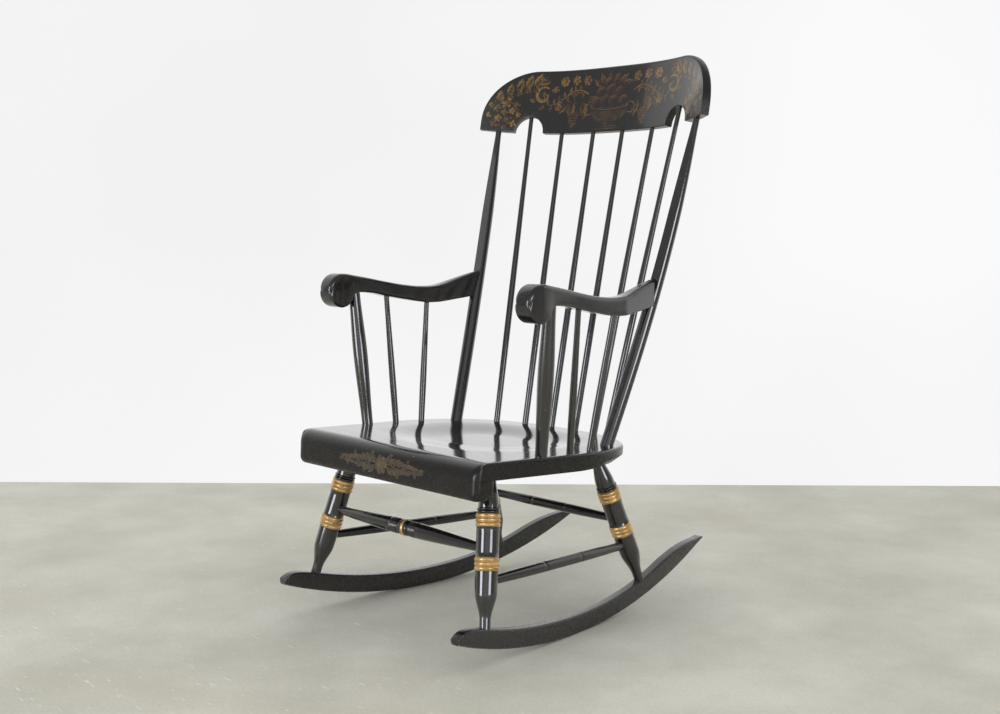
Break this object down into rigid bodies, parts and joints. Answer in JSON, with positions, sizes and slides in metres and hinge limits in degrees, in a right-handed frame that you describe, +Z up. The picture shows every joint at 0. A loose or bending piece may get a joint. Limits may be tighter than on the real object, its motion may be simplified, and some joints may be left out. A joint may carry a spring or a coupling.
{
  "type": "rocking chair",
  "caption": "Rocking chair with a rolled plank seat on bent rockers, turned splayed legs, scrolled arms and a spindle back under a curved crest rail.",
  "frame": {"origin": "on the floor under the middle of the bounding box", "axes": "+X towards the sitter's left, -Y towards the front, +Z up"},
  "size_m": [0.6006, 0.7286, 1.0469],
  "materials": {
    "black_lacquer": "glossy black lacquer on wood"
  },
  "bodies": {
    "root": {"arm_left": "black_lacquer", "arm_right": "black_lacquer", "arm_spindle_left_1": "black_lacquer", "arm_spindle_left_2": "black_lacquer", "arm_spindle_right_1": "black_lacquer", "arm_spindle_right_2": "black_lacquer", "arm_support_left": "black_lacquer", "arm_support_right": "black_lacquer", "back_post_left": "black_lacquer", "back_post_right": "black_lacquer", "back_spindle_1": "black_lacquer", "back_spindle_2": "black_lacquer", "back_spindle_3": "black_lacquer", "back_spindle_4": "black_lacquer", "back_spindle_5": "black_lacquer", "back_spindle_6": "black_lacquer", "crest_rail": "black_lacquer", "front_leg_left": "black_lacquer", "front_leg_right": "black_lacquer", "front_stretcher": "black_lacquer", "rear_leg_left": "black_lacquer", "rear_leg_right": "black_lacquer", "rear_stretcher": "black_lacquer", "rocker_left": "black_lacquer", "rocker_right": "black_lacquer", "seat_front_roll": "black_lacquer", "seat_plank": "black_lacquer", "side_stretcher_left": "black_lacquer", "side_stretcher_right": "black_lacquer"}
  },
  "joints": []
}
